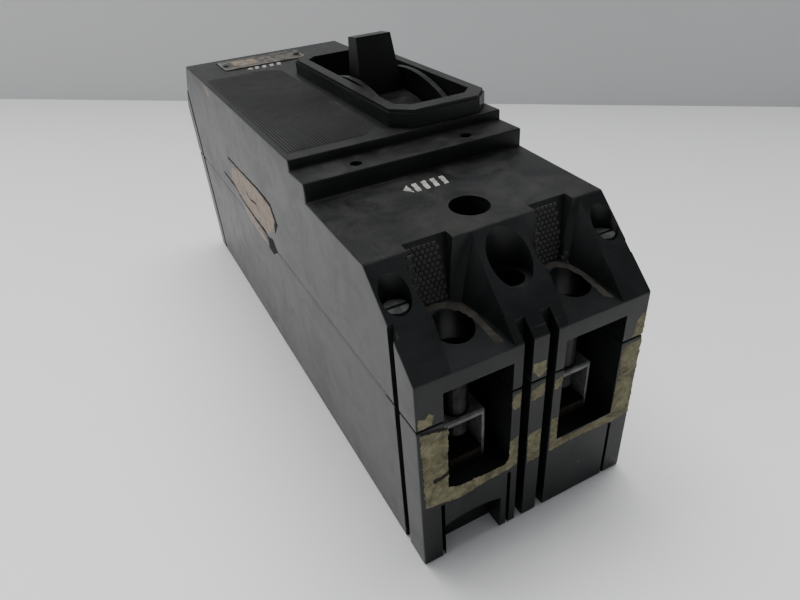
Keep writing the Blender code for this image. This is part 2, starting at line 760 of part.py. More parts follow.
def make_links():
    """The cradle, and the toggle's upper and lower links, each pair of plates on its own pin."""
    cradle_outline = [
        (-4, -3.5),
        (-4, 4),
        (10, 6.5),
        (30, 5.5),
        (52, 1),
        (60, 1),
        (60, -5),
        (52, -5),
        (28, -3.6),
        (10, -3.8),
    ]
    cradle = add_part("cradle", plate(cradle_outline, -1.2, 1.2), "steel", CRADLE_PIN, 0.0, MECH_X)
    offset = LINK_PIN[0] - CRADLE_PIN[0]
    cut(cradle, rod((-3, 0, 0), (3, 0, 0), 2.1, 14), rod((-3, offset, 0), (3, offset, 0), 2.3, 14))
    upper = add_part(
        "upper_link", rod((-2.7, 0, 0), (2.7, 0, 0), 1.9, 14), "steel", LINK_PIN, UPPER_LINK_TILT, MECH_X
    )
    for side in SIDES.values():
        x = span(side, 1.6, 2.7)
        join(upper, plate(link_outline(UPPER_LINK, 3.0), *x))
        hole = (UPPER_LINK, 0.0)
        cut(upper, rod((x[0] - 1, *hole), (x[1] + 1, *hole), 2.0, 14))
    pin = rod((-7, UPPER_LINK, 0), (7, UPPER_LINK, 0), 1.7, 14)
    add_part("toggle_pin", pin, "steel", LINK_PIN, UPPER_LINK_TILT, MECH_X)
    arm_pin = turned(ARM_PIN, ARM_TILT)
    foot = (CROSSBAR[0] + arm_pin[0], CROSSBAR[1] + arm_pin[1])
    lower = add_part(
        "lower_link", rod((-6.9, 0, 0), (6.9, 0, 0), 2.1, 14), "steel", foot, LOWER_LINK_TILT, MECH_X
    )
    for side in SIDES.values():
        x = span(side, 5.4, 6.9)
        join(lower, plate(link_outline(LOWER_LINK - 4, 3.0), *x))
        cut(lower, rod((x[0] - 1, LOWER_LINK, 0), (x[1] + 1, LOWER_LINK, 0), 5.6, 24))


def make_arc_chutes():
    """Each chute is a stack of notched steel plates held between two fibre side walls."""
    plates = 8
    pitch = 5.0
    thick = 1.4
    low_z = 19.0
    high_z = low_z + (plates - 1) * pitch + thick
    for side_name, x in ARM_X.items():
        chute = add_part(
            f"arc_chute_{side_name}", box((x - 13.2, -72, low_z), (x + 13.2, -56, high_z)), "insulation"
        )
        for i in range(plates - 1):
            bottom = low_z + i * pitch + thick
            cut(chute, box((x - 12, -75, bottom), (x + 12, -53, bottom + pitch - thick)))
        notch = [
            (x - 6, -50),
            (x - 6, -60),
            (x - 4.6, -67.5),
            (x + 4.6, -67.5),
            (x + 6, -60),
            (x + 6, -50),
        ]
        cut(chute, plate(notch, low_z - 3, high_z + 3, "xy"))


def make_trip_unit():
    bar = add_part("trip_bar", rod((-33, 0, 0), (33, 0, 0), 3.5, 16), "insulation", TRIP_BAR)
    screw_z = 54.0 - TRIP_BAR[1]
    for side_name, side in SIDES.items():
        centre = side * POLE_X
        join(bar, box((centre - 4, -1.75, 46.0 - TRIP_BAR[1]), (centre + 4, 1.75, 0)))
        cut(bar, rod((centre, -5, screw_z), (centre, 5, screw_z), 1.8, 12))
        screw = rod((centre, -3.6, screw_z), (centre, 6.8, screw_z), 1.5, 12)
        screw = add_part(f"calibration_screw_{side_name}", screw, "steel", TRIP_BAR)
        join(screw, rod((centre, -3.6, screw_z), (centre, -2.1, screw_z), 2.6, 12))
        strip = [
            (BIMETAL_Y[0], 12.3),
            (73.9, 12.3),
            (73.9, 13.5),
            (BIMETAL_Y[1], 13.5),
            (BIMETAL_Y[1], 62.0),
            (BIMETAL_Y[0], 62.0),
        ]
        add_part(f"bimetal_{side_name}", plate(strip, centre - 4, centre + 4), "silver")
        channel = [
            (centre - 8, 64.5),
            (centre - 6.6, 64.5),
            (centre - 6.6, 74.4),
            (centre + 6.6, 74.4),
            (centre + 6.6, 64.5),
            (centre + 8, 64.5),
            (centre + 8, 76),
            (centre - 8, 76),
        ]
        magnet = add_part(f"magnet_yoke_{side_name}", plate(channel, 24, 40, "xy"), "steel")
        join(magnet, box((centre - 5.5, 74.4, 12.3), (centre + 5.5, 76, 25)))
        plate_z = (22.0 - ARMATURE_PIN[1], 45.0 - ARMATURE_PIN[1])
        armature = box((-7, -0.7, plate_z[0]), (7, 0.7, plate_z[1]))
        armature = add_part(f"armature_{side_name}", armature, "steel", ARMATURE_PIN, 0.0, centre)
        join(armature, rod((-8.2, 0, 0), (8.2, 0, 0), 1.2, 12))
    latch = [(-2.4, -4), (3, -4), (3, 5), (-0.5, 7), (-4.2, 7), (-4.2, 4.4), (-2.4, 3.4)]
    add_part("latch", plate(latch, -3.2, 3.2), "steel", LATCH_PIN, 0.0, MECH_X)


def make_braids():
    """Flat copper braids that join each moving arm to its load strap, modelled as thick cords."""
    for side_name, x in ARM_X.items():
        centre = SIDES[side_name] * POLE_X
        route = [
            (16.2, 31.0),
            (18.5, 24.0),
            (22.5, 16.0),
            (29.0, 10.5),
            (38.0, 8.6),
            (48.0, 9.4),
            (57.6, 10.5),
        ]
        points = []
        for i, (y, z) in enumerate(route):
            part_way = i / (len(route) - 1)
            points.append((x + (centre - x) * part_way, y, z))
        mesh = wire(smooth_route(points, 4), 2.0, 2)
        add_part(f"braid_{side_name}", mesh, "copper")


def smooth_route(points, steps):
    """Points on a Catmull-Rom curve through the given ones."""
    padded = [points[0], *points, points[-1]]
    result = []
    for i in range(1, len(padded) - 2):
        a, b, c, d = (Vector(p) for p in padded[i - 1 : i + 3])
        for step in range(steps):
            t = step / steps
            square = (2 * a - 5 * b + 4 * c - d) * t**2
            cube = (3 * b - a - 3 * c + d) * t**3
            result.append(0.5 * (2 * b + (c - a) * t + square + cube))
    result.append(Vector(points[-1]))
    return result


def make_nameplate():
    low_z = DECK_Z - 0.5 + GAP
    top_z = low_z + 0.8
    sheet = add_part("nameplate", box((-25, 73.7, low_z), (13.4, 90.3, top_z)), "nameplate")
    for name, x in (("left", -23.0), ("right", 11.4)):
        cut(sheet, rod((x, 82, low_z - 1), (x, 82, top_z + 1), 1.1, 12))
        head = rod((x, 82, top_z + GAP), (x, 82, top_z + 1.0), 1.7, 16, 1.1)
        rivet = add_part(f"nameplate_rivet_{name}", head, "tin")
        join(rivet, rod((x, 82, DECK_Z - 2.6), (x, 82, top_z + 0.6), 0.8, 10))


def shade_round_pieces():
    for obj in PARTS.objects:
        obj.data.shade_smooth()
        obj.data.set_sharp_from_angle(angle=math.radians(35))


clear_scene()
PARTS = new_collection("molded_case_breaker")
CUTTERS = new_collection("cutters")
MATERIALS = {name: make_material(name) for name in COLOURS}
make_base()
make_cover()
make_terminals()
make_cover_screws()
make_handle()
make_yoke()
make_springs()
make_frame()
make_crossbar()
make_links()
make_arc_chutes()
make_trip_unit()
make_braids()
make_nameplate()
shade_round_pieces()
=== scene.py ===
"""The look of the molded case breaker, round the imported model.

It holds the finishes, the surface detail, the wear, the light and the camera.
"""

import json
import math

import bmesh
import bpy
from collections import Counter

from mathutils import Matrix, Vector, geometry, noise
from mathutils.bvhtree import BVHTree


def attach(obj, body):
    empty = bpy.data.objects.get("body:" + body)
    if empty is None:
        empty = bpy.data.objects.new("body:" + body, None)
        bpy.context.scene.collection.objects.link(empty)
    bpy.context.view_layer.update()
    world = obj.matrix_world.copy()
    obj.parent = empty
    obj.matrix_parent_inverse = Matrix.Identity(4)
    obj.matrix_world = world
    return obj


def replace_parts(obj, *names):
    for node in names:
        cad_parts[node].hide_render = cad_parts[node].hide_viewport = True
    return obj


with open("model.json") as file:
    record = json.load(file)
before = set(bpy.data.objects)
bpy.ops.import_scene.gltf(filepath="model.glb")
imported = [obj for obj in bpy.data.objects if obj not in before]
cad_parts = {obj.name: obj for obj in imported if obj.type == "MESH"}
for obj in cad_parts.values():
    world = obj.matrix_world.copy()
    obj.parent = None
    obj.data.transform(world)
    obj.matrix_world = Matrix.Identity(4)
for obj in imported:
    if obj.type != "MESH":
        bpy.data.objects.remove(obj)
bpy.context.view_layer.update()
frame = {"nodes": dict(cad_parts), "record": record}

MM = 0.001
FRONT_Y = -120.65  # the line end's face, in mm; the load end mirrors it
DECK_Z = 104.3
LOWER_DECK_Z = 95.2
CHAMFER_FOOT_Z = 71.3
LEFT_X = -38.1
STEP_FOOT_Y = -58.75  # where the lower deck starts, below the ledge
LOWER_DECK_SLOPE = 0.04156
POCKET_SLOPE = 0.257
PARTING_GAP = (55.78, 56.52)  # the joint strip's heights, which overlap both edges' rounding
UNDER_FACE = -0.02  # how far a laid piece reaches into the face that it lies on
IMAGE_WIDTH = 800
SENSOR_WIDTH = 36
FOCAL_LENGTH = 619.03  # in widths of a pixel


# ---------------------------------------------------------------- node helpers


class Graph:
    """One material's node tree, with short calls for the nodes that the finishes share."""

    def __init__(self, name):
        self.material = bpy.data.materials.new(name)
        self.material.use_nodes = True
        self.tree = self.material.node_tree
        self.tree.nodes.clear()
        self.shader = self.tree.nodes.new("ShaderNodeBsdfPrincipled")
        output = self.tree.nodes.new("ShaderNodeOutputMaterial")
        self.tree.links.new(self.shader.outputs[0], output.inputs["Surface"])
        self.place = self.tree.nodes.new("ShaderNodeTexCoord").outputs["Object"]

    def put(self, socket, value):
        if isinstance(value, bpy.types.NodeSocket):
            self.tree.links.new(value, socket)
        elif isinstance(value, tuple) and len(value) == 3 and socket.type == "RGBA":
            socket.default_value = (*value, 1)
        else:
            socket.default_value = value

    def noise(self, scale, detail=3, rough=0.55, stretch=None, warp=0.0):
        """A noise field from 0 to 1. The scale is in cells per metre, times stretch along each axis."""
        node = self.tree.nodes.new("ShaderNodeTexNoise")
        place = self.place
        if stretch:
            mapping = self.tree.nodes.new("ShaderNodeMapping")
            mapping.inputs["Scale"].default_value = stretch
            self.put(mapping.inputs["Vector"], place)
            place = mapping.outputs[0]
        self.put(node.inputs["Vector"], place)
        for key, value in {
            "Scale": scale,
            "Detail": detail,
            "Roughness": rough,
            "Distortion": warp,
        }.items():
            node.inputs[key].default_value = value
        return node.outputs[0]

    def cells(self, scale, feature="F1", randomness=1.0):
        node = self.tree.nodes.new("ShaderNodeTexVoronoi")
        node.feature = feature
        self.put(node.inputs["Vector"], self.place)
        node.inputs["Scale"].default_value = scale
        node.inputs["Randomness"].default_value = randomness
        return node.outputs["Distance"]

    def math(self, kind, a, b=0.0, clamp=False):
        node = self.tree.nodes.new("ShaderNodeMath")
        node.operation = kind
        node.use_clamp = clamp
        self.put(node.inputs[0], a)
        self.put(node.inputs[1], b)
        return node.outputs[0]

    def step(self, value, low, high, to_low=0.0, to_high=1.0):
        """The value's climb from low to high, as a smooth step between the two results."""
        node = self.tree.nodes.new("ShaderNodeMapRange")
        node.interpolation_type = "SMOOTHSTEP"
        self.put(node.inputs[0], value)
        for key, limit in enumerate((low, high, to_low, to_high), 1):
            node.inputs[key].default_value = limit
        return node.outputs[0]

    def blend(self, factor, a, b):
        node = self.tree.nodes.new("ShaderNodeMix")
        node.data_type = "RGBA"
        self.put(node.inputs["Factor"], factor)
        self.put(node.inputs["A"], a if isinstance(a, bpy.types.NodeSocket) else (*a, 1))
        self.put(node.inputs["B"], b if isinstance(b, bpy.types.NodeSocket) else (*b, 1))
        return node.outputs["Result"]

    def axis(self, letter, source="Object"):
        """One coordinate of the place, or of the surface's own direction."""
        split = self.tree.nodes.new("ShaderNodeSeparateXYZ")
        if source == "Object":
            self.put(split.inputs[0], self.place)
        else:
            self.put(
                split.inputs[0],
                self.tree.nodes.new("ShaderNodeNewGeometry").outputs["Normal"],
            )
        return split.outputs[letter]

    def bump(self, height, strength, distance, under=None):
        node = self.tree.nodes.new("ShaderNodeBump")
        node.inputs["Strength"].default_value = strength
        node.inputs["Distance"].default_value = distance
        self.put(node.inputs["Height"], height)
        if under is not None:
            self.put(node.inputs["Normal"], under)
        return node.outputs[0]

    def finish(self, **sockets):
        for name, value in sockets.items():
            self.put(self.shader.inputs[name.replace("_", " ")], value)
        return self.material


def moulding_finish(name, base, pale, dust_and_sheen=1.0, rough=(0.39, 0.50), side_sheen=0.0):
    """Black thermoset: faint flow marks, fine pitting, hairline scratches and settled dust, which on
    upward faces is also a painted sheen.

    The last argument sets how much pale painted sheen, which stands in for the grazing reflection, lies
    on the outermost faces of both sides.
    """
    g = Graph(name)
    flow = g.noise(38, 4, 0.6, warp=0.6)
    grain = g.noise(1900, 2, 0.6)
    body = g.blend(g.step(flow, 0.36, 0.66), base, pale)
    body = g.blend(g.step(grain, 0.52, 0.80, 0, 0.22), body, tuple(c * 2.2 for c in pale))
    scratch_a = g.step(g.noise(520, 1, 0.4, (1.0, 0.035, 0.7), 0.25), 0.735, 0.765)
    scratch_b = g.step(g.noise(430, 1, 0.4, (0.05, 0.9, 0.5), 0.3), 0.745, 0.775)
    patches = g.step(g.noise(46, 2, 0.5), 0.44, 0.62)
    scratches = g.math("MULTIPLY", g.math("MAXIMUM", scratch_a, scratch_b), patches)
    body = g.blend(g.math("MULTIPLY", scratches, 0.25), body, (0.10, 0.102, 0.098))
    # Upward faces are lightened: partly settled dust, partly a painted sheen that stands in for the top
    # faces' reflection.
    up = g.math(
        "MULTIPLY",
        g.step(g.axis("Z", "Normal"), 0.80, 0.98),
        g.step(g.axis("Z"), 0.084, 0.090, 0.12, 1.0),
    )
    haze = g.step(g.noise(70, 5, 0.7, warp=1.2), 0.30, 0.85)
    specks = g.step(g.cells(330), 0.10, 0.05)
    settled_dust_and_sheen = g.math("MULTIPLY", g.math("MULTIPLY", up, haze), 0.15 * dust_and_sheen)
    speckled = g.math("MULTIPLY", g.math("MULTIPLY", specks, up), 0.16 * dust_and_sheen)
    body = g.blend(g.math("MAXIMUM", settled_dust_and_sheen, speckled), body, (0.185, 0.178, 0.160))
    # Painted sheen: the outermost faces of both sides are lightened in streaks, standing in for their
    # grazing reflection.
    if side_sheen:
        sideways = g.step(g.math("ABSOLUTE", g.axis("X", "Normal")), 0.90, 0.99)
        sheen_streaks = g.step(g.noise(110, 4, 0.55, (1.0, 0.04, 1.0), 0.3), 0.20, 0.85, 0.88, 1.0)
        outermost = g.step(g.math("ABSOLUTE", g.axis("X")), 0.0372, 0.0379)
        share = g.math(
            "MULTIPLY",
            g.math("MULTIPLY", sideways, sheen_streaks),
            g.math("MULTIPLY", outermost, side_sheen),
        )
        body = g.blend(share, body, (0.150, 0.150, 0.143))
    roughness = g.step(
        g.math("ADD", g.math("MULTIPLY", flow, 0.6), g.math("MULTIPLY", haze, 0.4)),
        0.25,
        0.75,
        *rough,
    )
    pitted = g.bump(grain, 0.10, 0.00010)
    wavy = g.bump(g.noise(150, 2, 0.5), 0.05, 0.00010, pitted)
    normal = g.bump(scratches, 0.30, 0.00004, wavy)
    return g.finish(Base_Color=body, Roughness=roughness, Normal=normal, Specular_IOR_Level=0.24)


def metal_finish(name, bright, dull, rough, metallic, stain=0.35):
    """Worn metal: drawn grain, dull oxide in patches, and a few dark stains."""
    g = Graph(name)
    patches = g.step(g.noise(210, 5, 0.62, warp=0.8), 0.38, 0.68)
    grain = g.noise(2600, 2, 0.5, (1.0, 0.08, 1.0))
    body = g.blend(patches, bright, dull)
    body = g.blend(g.step(grain, 0.45, 0.8, 0, 0.35), body, tuple(c * 0.45 for c in dull))
    spots = g.step(g.noise(520, 3, 0.6), 0.60, 0.76, 0, stain)
    body = g.blend(spots, body, (0.035, 0.030, 0.024))
    roughness = g.step(patches, 0.0, 1.0, *rough)
    normal = g.bump(grain, 0.16, 0.00005, g.bump(g.noise(340, 3), 0.25, 0.00008))
    return g.finish(Base_Color=body, Roughness=roughness, Metallic=metallic, Normal=normal)


def paper_finish(name, light, dark, grime, grime_share=0.35):
    """Torn paper and dried glue: fibres, yellowing, and dirt rubbed into it."""
    g = Graph(name)
    yellow = g.step(g.noise(240, 4, 0.6, warp=1.0), 0.30, 0.72)
    body = g.blend(yellow, light, dark)
    fibres = g.noise(2300, 3, 0.65, (1.0, 1.0, 0.3), 0.6)
    body = g.blend(g.step(fibres, 0.50, 0.80, 0, 0.45), body, tuple(c * 0.55 for c in dark))
    smears = g.step(g.noise(130, 5, 0.75, warp=1.6), 0.44, 0.70, 0, grime_share)
    body = g.blend(smears, body, grime)
    crumbs = g.step(g.noise(900, 2, 0.6), 0.62, 0.72, 0, 0.5)
    body = g.blend(crumbs, body, grime)
    normal = g.bump(fibres, 0.35, 0.00008, g.bump(g.noise(520, 4), 0.5, 0.00012))
    return g.finish(Base_Color=body, Roughness=0.86, Normal=normal, Specular_IOR_Level=0.25)


# ------------------------------------------------------------------ finishes

FINISH = {
    "moulding": moulding_finish(
        "finish_moulding",
        (0.0050, 0.0055, 0.0058),
        (0.0120, 0.0130, 0.0135),
        # a painted sheen on both outer sides
        side_sheen=0.42,
    ),
    "handle_moulding": moulding_finish(
        "finish_handle", (0.0040, 0.0042, 0.0042), (0.008, 0.008, 0.008), 0.9, (0.36, 0.5),
    ),
    "insulation": moulding_finish(
        "finish_insulation", (0.020, 0.014, 0.010), (0.040, 0.028, 0.020), 0.4, (0.55, 0.8),
    ),
    "copper": metal_finish(
        "finish_copper", (0.062, 0.046, 0.036), (0.030, 0.025, 0.021), (0.42, 0.66), 0.7,
    ),
    "silver": metal_finish(
        "finish_silver", (0.62, 0.60, 0.56), (0.33, 0.31, 0.28), (0.3, 0.5), 0.9,
    ),
    "steel": metal_finish(
        "finish_steel", (0.085, 0.083, 0.078), (0.035, 0.033, 0.030), (0.42, 0.64), 0.75,
    ),
    "tin": metal_finish(
        "finish_tin", (0.20, 0.203, 0.20), (0.10, 0.10, 0.097), (0.45, 0.62), 0.35,
    ),
    "nameplate": metal_finish(
        "finish_nameplate", (0.115, 0.105, 0.090), (0.055, 0.050, 0.043), (0.42, 0.6), 0.35,
    ),
}
DUSTY_STEEL = metal_finish(
    "finish_dusty_steel", (0.070, 0.075, 0.070), (0.032, 0.035, 0.032), (0.55, 0.75), 0.15,
)
DARK_STEEL = metal_finish(
    "finish_dark_steel", (0.014, 0.014, 0.0135), (0.007, 0.0065, 0.006), (0.45, 0.6), 0.6,
)
RESIDUE = paper_finish(
    "finish_residue", (0.215, 0.202, 0.125), (0.120, 0.107, 0.057), (0.030, 0.029, 0.023), 0.72,
)
SCAR = paper_finish(
    "finish_scar", (0.370, 0.315, 0.265), (0.270, 0.220, 0.180), (0.060, 0.050, 0.042), 0.25,
)
CRACK = paper_finish(
    "finish_crack",
    (0.012, 0.012, 0.011),
    (0.006, 0.006, 0.006),
    (0.020, 0.018, 0.015),
)
DUST = paper_finish(
    "finish_dust", (0.040, 0.038, 0.033), (0.024, 0.023, 0.020), (0.014, 0.014, 0.013), 0.6,
)
EDGE_DUST = paper_finish(
    "finish_edge_dust", (0.150, 0.142, 0.120), (0.090, 0.085, 0.070), (0.040, 0.038, 0.033),
    0.4,
)
WHITE_PAINT = paper_finish(
    "finish_white_paint", (0.38, 0.38, 0.36), (0.22, 0.22, 0.205), (0.06, 0.06, 0.058), 0.5,
)
PLATE_RIM = metal_finish(
    "finish_plate_rim", (0.30, 0.29, 0.26), (0.15, 0.142, 0.125), (0.4, 0.6), 0.5,
)
RELIEF = moulding_finish(
    "finish_relief", (0.024, 0.024, 0.0225), (0.045, 0.045, 0.042), 1.0, (0.5, 0.7),
)
# The ribs are painted lighter than the deck between them: a painted highlight on the rib tops, with
# extra settled dust.
RIBS = moulding_finish(
    "finish_ribs", (0.014, 0.0145, 0.0145), (0.028, 0.029, 0.029), 1.6, (0.4, 0.6),
)
PLATE_TAN = metal_finish(
    "finish_plate_tan", (0.30, 0.235, 0.17), (0.19, 0.15, 0.11), (0.45, 0.6), 0.3,
)

for row in frame["record"]["subparts"]:
    node = frame["nodes"][row["node"]]
    node.data.materials.clear()
    node.data.materials.append(FINISH[row["material_slot"]])
for name, node in frame["nodes"].items():
    if name.startswith("cover_screw"):
        node.data.materials[0] = DUSTY_STEEL
    if "lug_screw" in name:
        node.data.materials[0] = DARK_STEEL

# ------------------------------------------------------------- rounded edges


def round_node(name, width, angle=32.0):
    """Rounds a CAD node's sharp edges with modifiers, which leave its own mesh as it is."""
    node = frame["nodes"][name]
    weld = node.modifiers.new("weld", "WELD")
    weld.merge_threshold = 1e-6
    bevel = node.modifiers.new("rounded_edges", "BEVEL")
    bevel.width = width * MM
    bevel.segments = 2
    bevel.limit_method = "ANGLE"
    bevel.angle_limit = math.radians(angle)
    bevel.use_clamp_overlap = True
    flat = node.modifiers.new("flat_faces", "WEIGHTED_NORMAL")
    flat.keep_sharp = False
    flat.weight = 100


for name, width in (("base", 0.35), ("cover", 0.35), ("handle", 0.45)):
    round_node(name, width)

# ----------------------------------------------------------- shapes for pieces


def front(a, b, h):
    return Vector((a, FRONT_Y - h, b)) * MM


def left_side(a, b, h):
    return Vector((LEFT_X - h, a, b)) * MM


def deck(a, b, h):
    return Vector((a, b, DECK_Z + h)) * MM


def lower_deck(a, b, h):
    return Vector((a, b, LOWER_DECK_Z + (b - STEP_FOOT_Y) * LOWER_DECK_SLOPE + h)) * MM


def pocket_floor(a, b, h):
    return Vector((a, b, CHAMFER_FOOT_Z + (b - FRONT_Y) * POCKET_SLOPE + h)) * MM


def add_piece(name, bm, finish, body="case"):
    bmesh.ops.recalc_face_normals(bm, faces=bm.faces)
    mesh = bpy.data.meshes.new(name)
    bm.to_mesh(mesh)
    bm.free()
    mesh.materials.append(finish)
    piece = bpy.data.objects.new(name, mesh)
    bpy.context.scene.collection.objects.link(piece)
    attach(piece, body)
    return piece


def ragged(outline, rough, seed, pitch):
    """The outline walked in steps of about the pitch, each point pushed off it a little."""
    points = []
    for i, start in enumerate(outline):
        end = outline[(i + 1) % len(outline)]
        length = math.dist(start, end)
        steps = max(1, round(length / pitch))
        for k in range(steps):
            t = k / steps
            x = start[0] + (end[0] - start[0]) * t
            y = start[1] + (end[1] - start[1]) * t
            push = noise.noise_vector(Vector((x * 0.9, y * 0.9, seed))) + noise.noise_vector(
                Vector((x * 2.7, y * 2.7, seed + 9))
            ) * 0.6
            points.append(Vector((x + push.x * rough, y + push.y * rough)))
    return points


def film(bm, outline, lay, thick=0.09, rough=0.35, seed=0.0, pitch=0.5, lift=0.0):
    """A thin ragged flake on a face: a closed slab whose top is uneven and whose rim is thinner."""
    rim = ragged(outline, rough, seed, pitch)
    low_x, high_x = min(p.x for p in rim), max(p.x for p in rim)
    low_y, high_y = min(p.y for p in rim), max(p.y for p in rim)
    inner = []
    grid = pitch * 1.7
    for i in range(int((high_x - low_x) / grid) + 1):
        for k in range(int((high_y - low_y) / grid) + 1):
            x, y = low_x + (i + 0.5) * grid, low_y + (k + 0.5) * grid
            jog = noise.noise_vector(Vector((x * 3.1, y * 3.1, seed))) * grid * 0.3
            inner.append(Vector((x + jog.x, y + jog.y)))
    count = len(rim)
    edges = [(i, (i + 1) % count) for i in range(count)]
    points, _, triangles, *_ = geometry.delaunay_2d_cdt(rim + inner, edges, [], 1, 1e-5)
    used = sorted({i for t in triangles for i in t})
    uses = Counter(frozenset((t[i], t[(i + 1) % 3])) for t in triangles for i in range(3))
    border = {i for pair, n in uses.items() if n == 1 for i in pair}
    top, under = {}, {}
    for i in used:
        p = points[i]
        swell = 0.5 + 0.5 * noise.noise(Vector((p.x * 1.3, p.y * 1.3, seed + 4)))
        height = thick * (0.35 if i in border else 0.45 + 0.55 * swell)
        top[i] = bm.verts.new(lay(p.x, p.y, lift + height))
        under[i] = bm.verts.new(lay(p.x, p.y, UNDER_FACE))
    for t in triangles:
        bm.faces.new([top[i] for i in t])
        bm.faces.new([under[i] for i in reversed(t)])
    for pair, n in uses.items():
        if n == 1:
            i, k = tuple(pair)
            bm.faces.new((top[i], top[k], under[k], under[i]))


def films(name, outlines, lay, finish, slot="moulding", **settings):
    bm = bmesh.new()
    for n, outline in enumerate(outlines):
        film(bm, outline, lay, seed=11.0 + 7.3 * n, **settings)
    return add_piece(name, bm, finish)


def join_rings(bm, first, second):
    """Faces all the way round between two rings of as many points each."""
    for i in range(len(first)):
        k = (i + 1) % len(first)
        bm.faces.new((first[i], first[k], second[k], second[i]))


def slab(bm, outline, lay, low, high, shrink=0.0):
    """A flat plate over an outline, its top drawn in by shrink towards its middle."""
    mid = Vector((sum(p[0] for p in outline), sum(p[1] for p in outline))) / len(outline)
    under = [bm.verts.new(lay(*p, low)) for p in outline]
    over = []
    for p in outline:
        inward = mid - Vector(p)
        moved = Vector(p) + inward.normalized() * min(shrink, inward.length * 0.5)
        over.append(bm.verts.new(lay(moved.x, moved.y, high)))
    bm.faces.new(over)
    bm.faces.new(list(reversed(under)))
    join_rings(bm, under, over)


def rectangle(low_x, high_x, low_y, high_y, corner=0.0, steps=4):
    """A rectangle's outline, with rounded corners if a corner radius is given."""
    if not corner:
        return [(low_x, low_y), (high_x, low_y), (high_x, high_y), (low_x, high_y)]
    points = []
    for n, (x, y) in enumerate(
        ((high_x - corner, high_y - corner), (low_x + corner, high_y - corner),
         (low_x + corner, low_y + corner), (high_x - corner, low_y + corner))
    ):
        for k in range(steps + 1):
            a = math.radians(90 * (n + k / steps))
            points.append((x + corner * math.cos(a), y + corner * math.sin(a)))
    return points


# -------------------------------------------------------- ribs on the top deck

RIB_PITCH = 1.0
RIB_COUNT = 32
FIRST_RIB_X = -35.6
RIB_RISE = 0.34
RIB_END_RAMP = 0.5
RIB_FIELD = (
    (-36.1, -41.65), (-10.1, -41.65), (-3.2, -34.65), (-3.2, 56.5), (-10.0, 63.4),
    (-36.1, 63.4),
)


def field_span(x):
    """Where a line along Y at this X enters and leaves the ribbed field."""
    crossings = []
    for i, (ax, ay) in enumerate(RIB_FIELD):
        bx, by = RIB_FIELD[(i + 1) % len(RIB_FIELD)]
        if (ax - x) * (bx - x) < 0:
            crossings.append(ay + (by - ay) * (x - ax) / (bx - ax))
    return min(crossings), max(crossings)


bm = bmesh.new()
for n in range(RIB_COUNT):
    x = FIRST_RIB_X + n * RIB_PITCH
    low, high = field_span(x)
    rings = []
    top = (low + RIB_END_RAMP, high - RIB_END_RAMP)
    for y, height in ((low, 0.02), (top[0], RIB_RISE), (top[1], RIB_RISE), (high, 0.02)):
        profile = ((-0.31, -0.02), (-0.17, height), (0.17, height), (0.31, -0.02))
        rings.append([bm.verts.new(deck(x + across, y, h)) for across, h in profile])
    for first, second in zip(rings, rings[1:]):
        join_rings(bm, first, second)
    bm.faces.new(rings[0])
    bm.faces.new(list(reversed(rings[-1])))
add_piece("deck_ribs", bm, RIBS)

# ------------------------------------------------------------------ nameplate

PLATE_X = (-25.0, 13.4)
PLATE_Y = (73.7, 90.3)
PLATE_CORNER = 1.2
RIVET_XS = (-23.0, 11.4)
RIVET_Y = 82
RIVET_STEPS = 20
PLATE = rectangle(*PLATE_X, *PLATE_Y, PLATE_CORNER)
bm = bmesh.new()
slab(bm, PLATE, deck, 0.02, 0.30)
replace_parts(add_piece("nameplate_field", bm, FINISH["nameplate"]), "nameplate")

bm = bmesh.new()
rim_rings = []
for inset, height in ((0.0, 0.10), (0.12, 0.52), (0.95, 0.52), (1.15, 0.22)):
    outline = rectangle(
        PLATE_X[0] + inset,
        PLATE_X[1] - inset,
        PLATE_Y[0] + inset,
        PLATE_Y[1] - inset,
        max(PLATE_CORNER - inset, 0.3),
    )
    rim_rings.append([bm.verts.new(deck(*p, height)) for p in outline])
for n in range(4):
    join_rings(bm, rim_rings[n], rim_rings[(n + 1) % 4])
add_piece("nameplate_rim", bm, PLATE_RIM)

bm = bmesh.new()
slab(bm, rectangle(-19.2, -8.5, 77.6, 88.6, 0.8), deck, 0.25, 0.42, 0.1)
add_piece("nameplate_panel", bm, PLATE_TAN)

bm = bmesh.new()
for row, y in enumerate((76.6, 79.0, 81.4, 83.8, 86.2)):
    x = -6.0
    for bar in range(4):
        length = 2.2 + 1.8 * abs(noise.noise(Vector((row * 1.7, bar * 2.3, 0.4))))
        slab(bm, rectangle(x, x + length, y, y + 0.9, 0.2, 2), deck, 0.25, 0.37, 0.06)
        x += length + 0.8
for row, y in enumerate((79.2, 81.8, 84.4)):
    slab(bm, rectangle(-17.4, -10.2 - row * 0.9, y, y + 0.8, 0.2, 2), deck, 0.36, 0.48, 0.06)
add_piece("nameplate_bars", bm, PLATE_RIM)

bm = bmesh.new()
for x in RIVET_XS:
    rings = []
    for r, h in ((1.25, 0.25), (1.2, 0.45), (0.95, 0.62), (0.5, 0.72)):
        ring = []
        for step in range(RIVET_STEPS):
            angle = step * math.tau / RIVET_STEPS
            around = deck(x + r * math.cos(angle), RIVET_Y + r * math.sin(angle), h)
            ring.append(bm.verts.new(around))
        rings.append(ring)
    for first, second in zip(rings, rings[1:]):
        join_rings(bm, first, second)
    bm.faces.new(rings[-1])
    bm.faces.new(list(reversed(rings[0])))
add_piece("nameplate_rivets", bm, FINISH["steel"])

# --------------------------------------------- painted marks, with no lettering


def direction_marks(low_x, high_x, low_y, high_y):
    """A plain arrowhead and four slanted strokes, in a row across the deck."""
    pitch = (high_x - low_x) / 5
    outlines = [
        [
            (low_x, (low_y + high_y) / 2),
            (low_x + pitch * 0.72, low_y),
            (low_x + pitch * 0.72, high_y),
        ]
    ]
    for n in range(1, 5):
        x = low_x + n * pitch
        wide = pitch * 0.50
        outlines.append(
            [(x, low_y), (x + wide, low_y), (x + wide * 1.5, high_y), (x + wide * 0.5, high_y)]
        )
    return outlines


